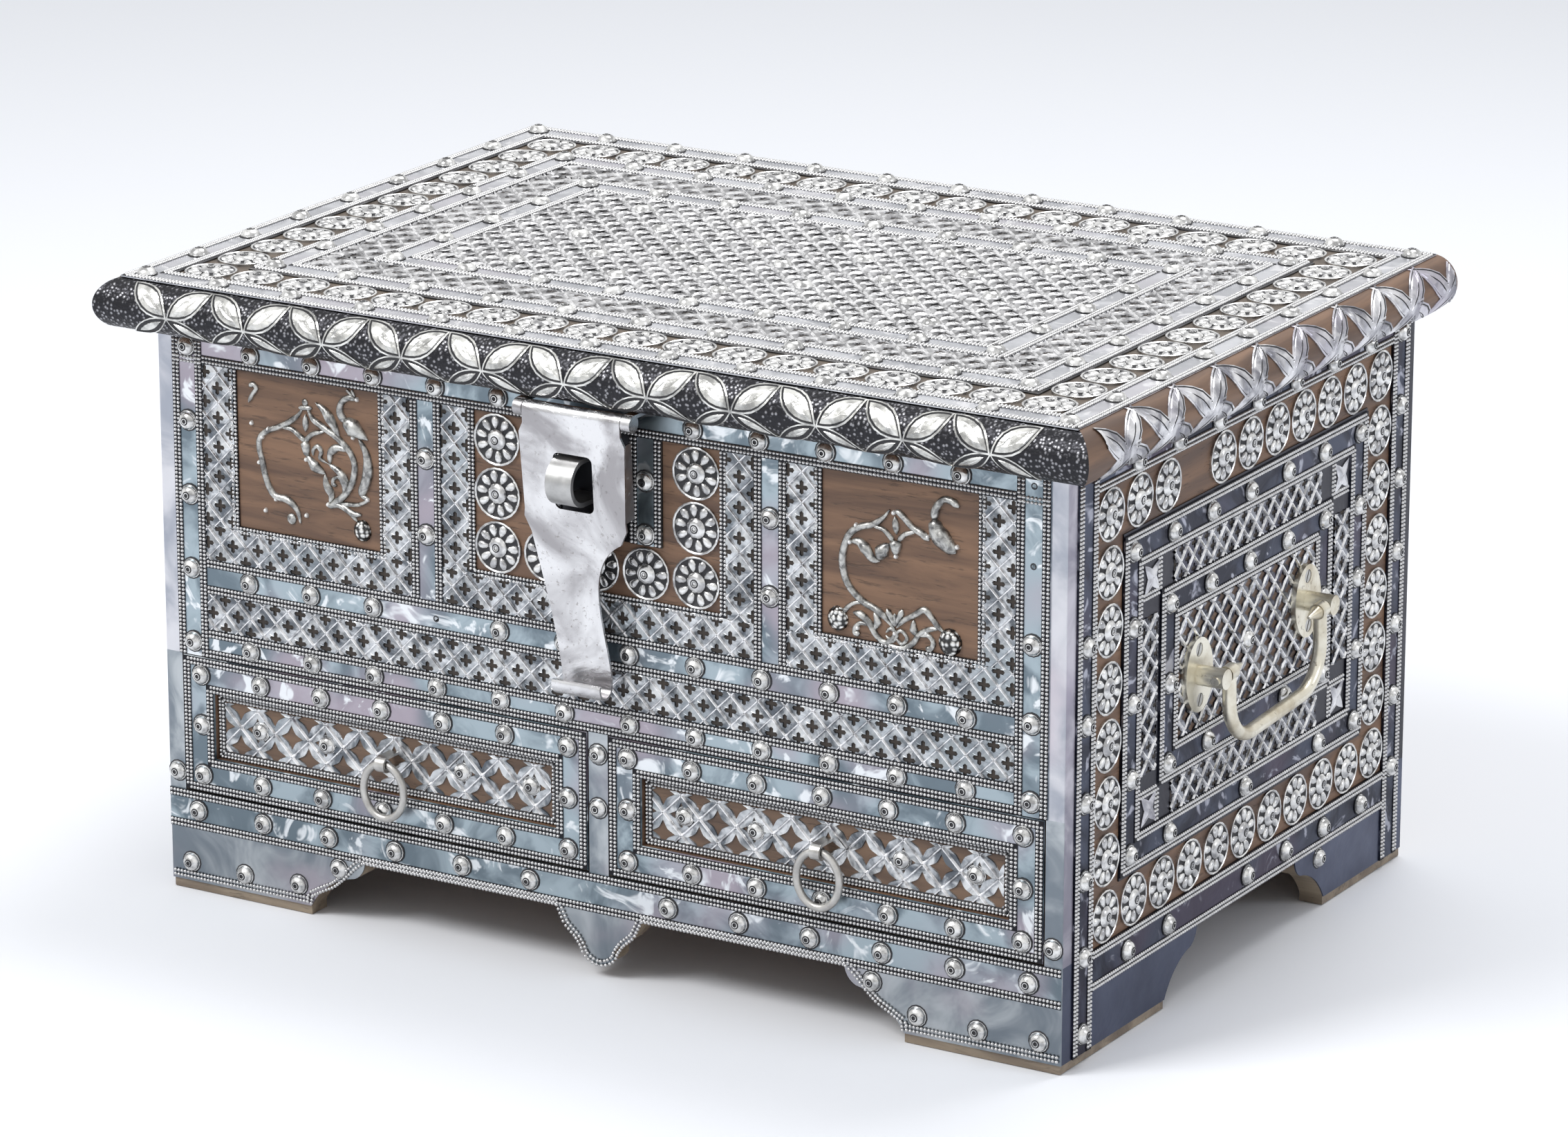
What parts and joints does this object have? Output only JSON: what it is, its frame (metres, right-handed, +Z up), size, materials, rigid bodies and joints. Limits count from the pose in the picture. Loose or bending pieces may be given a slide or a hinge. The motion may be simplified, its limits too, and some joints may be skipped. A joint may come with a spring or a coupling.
{
  "type": "dowry chest",
  "caption": "Low metal-clad wooden chest with a hinged moulded lid, a hasp over a staple, two drawers with ring pulls, a bail handle at each end and bracket feet.",
  "frame": {"origin": "on the floor, in the middle of the whole object's width and depth", "axes": "+X to the right seen from the front, +Y from the front to the back, +Z up"},
  "size_m": [0.61, 0.4344, 0.3539],
  "materials": {
    "carcass_wood": "dry oiled hardwood",
    "foot_wood": "bare worn wood",
    "sheet_metal": "pressed white metal sheet, worn",
    "strip_metal": "polished flat strip between beaded rails",
    "stud_metal": "polished domed nail heads",
    "rosette_metal": "pressed rosettes",
    "cast_silver": "cast silver-coloured scrolls",
    "hasp_metal": "polished and pitted plate",
    "handle_metal": "pale brass",
    "hinge_metal": "blackened iron",
    "screw_metal": "steel screws"
  },
  "bodies": {
    "chest": {"back_apron": "foot_wood", "back_board": "carcass_wood", "case_floor": "carcass_wood", "chest_floor": "carcass_wood", "chest_screws": "screw_metal", "drawer_partition": "carcass_wood", "foot_blocks": "foot_wood", "front_apron": "foot_wood", "front_base_sheets": "sheet_metal", "front_board": "carcass_wood", "front_rosettes": "rosette_metal", "front_sheet": "sheet_metal", "front_strips": "strip_metal", "front_studs": "stud_metal", "hasp_staple": "hasp_metal", "hinge_chest_leaves": "hinge_metal", "hinge_pins": "hinge_metal", "left_apron": "foot_wood", "left_handle_plates": "handle_metal", "left_scroll_mount": "cast_silver", "left_side_board": "carcass_wood", "left_side_rosettes": "rosette_metal", "left_side_sheets": "sheet_metal", "left_side_strips": "strip_metal", "left_side_studs": "stud_metal", "right_apron": "foot_wood", "right_handle_plates": "handle_metal", "right_scroll_mount": "cast_silver", "right_side_board": "carcass_wood", "right_side_rosettes": "rosette_metal", "right_side_sheets": "sheet_metal", "right_side_strips": "strip_metal", "right_side_studs": "stud_metal"},
    "lid": {"lid_board": "carcass_wood", "lid_front_moulding": "carcass_wood", "lid_side_mouldings": "carcass_wood", "lid_moulding_sheets": "sheet_metal", "lid_top_sheets": "sheet_metal", "lid_strips": "strip_metal", "lid_studs": "stud_metal", "lid_rosettes": "rosette_metal", "hinge_lid_leaves": "hinge_metal", "lid_screws": "screw_metal", "hasp_eyes": "hasp_metal", "hasp_pin": "hasp_metal"},
    "hasp": {"hasp_plate": "hasp_metal"},
    "left_drawer": {"left_drawer_front": "carcass_wood", "left_drawer_tray": "carcass_wood", "left_drawer_metal": "strip_metal", "left_drawer_studs": "stud_metal", "left_ring_staple": "cast_silver"},
    "left_ring": {"left_ring": "cast_silver"},
    "left_bail": {"left_bail": "handle_metal"},
    "right_drawer": {"right_drawer_front": "carcass_wood", "right_drawer_tray": "carcass_wood", "right_drawer_metal": "strip_metal", "right_drawer_studs": "stud_metal", "right_ring_staple": "cast_silver"},
    "right_ring": {"right_ring": "cast_silver"},
    "right_bail": {"right_bail": "handle_metal"}
  },
  "joints": [
    {"name": "lid_hinge", "type": "hinge", "parent": "chest", "child": "lid", "pos_m": [0, 0.2132, 0.32], "axis": [-1, 0, 0], "range_deg": [0, 105]},
    {"name": "hasp_hinge", "type": "hinge", "parent": "lid", "child": "hasp", "pos_m": [0, -0.2047, 0.3156], "axis": [-1, 0, 0], "range_deg": [0, 100]},
    {"name": "left_drawer_slide", "type": "slide", "parent": "chest", "child": "left_drawer", "axis": [0, -1, 0], "range_m": [0, 0.26]},
    {"name": "left_ring_hinge", "type": "hinge", "parent": "left_drawer", "child": "left_ring", "pos_m": [-0.1325, -0.1928, 0.0985], "axis": [-1, 0, 0], "range_deg": [0, 150]},
    {"name": "left_bail_hinge", "type": "hinge", "parent": "chest", "child": "left_bail", "pos_m": [-0.2958, 0.0163, 0.1815], "axis": [0, 0.9984, 0.0559], "range_deg": [-8, 165]},
    {"name": "right_drawer_slide", "type": "slide", "parent": "chest", "child": "right_drawer", "axis": [0, -1, 0], "range_m": [0, 0.26]},
    {"name": "right_ring_hinge", "type": "hinge", "parent": "right_drawer", "child": "right_ring", "pos_m": [0.1395, -0.1928, 0.0985], "axis": [-1, 0, 0], "range_deg": [0, 150]},
    {"name": "right_bail_hinge", "type": "hinge", "parent": "chest", "child": "right_bail", "pos_m": [0.2958, 0.0163, 0.1815], "axis": [0, -0.9984, -0.0559], "range_deg": [-8, 165]}
  ]
}
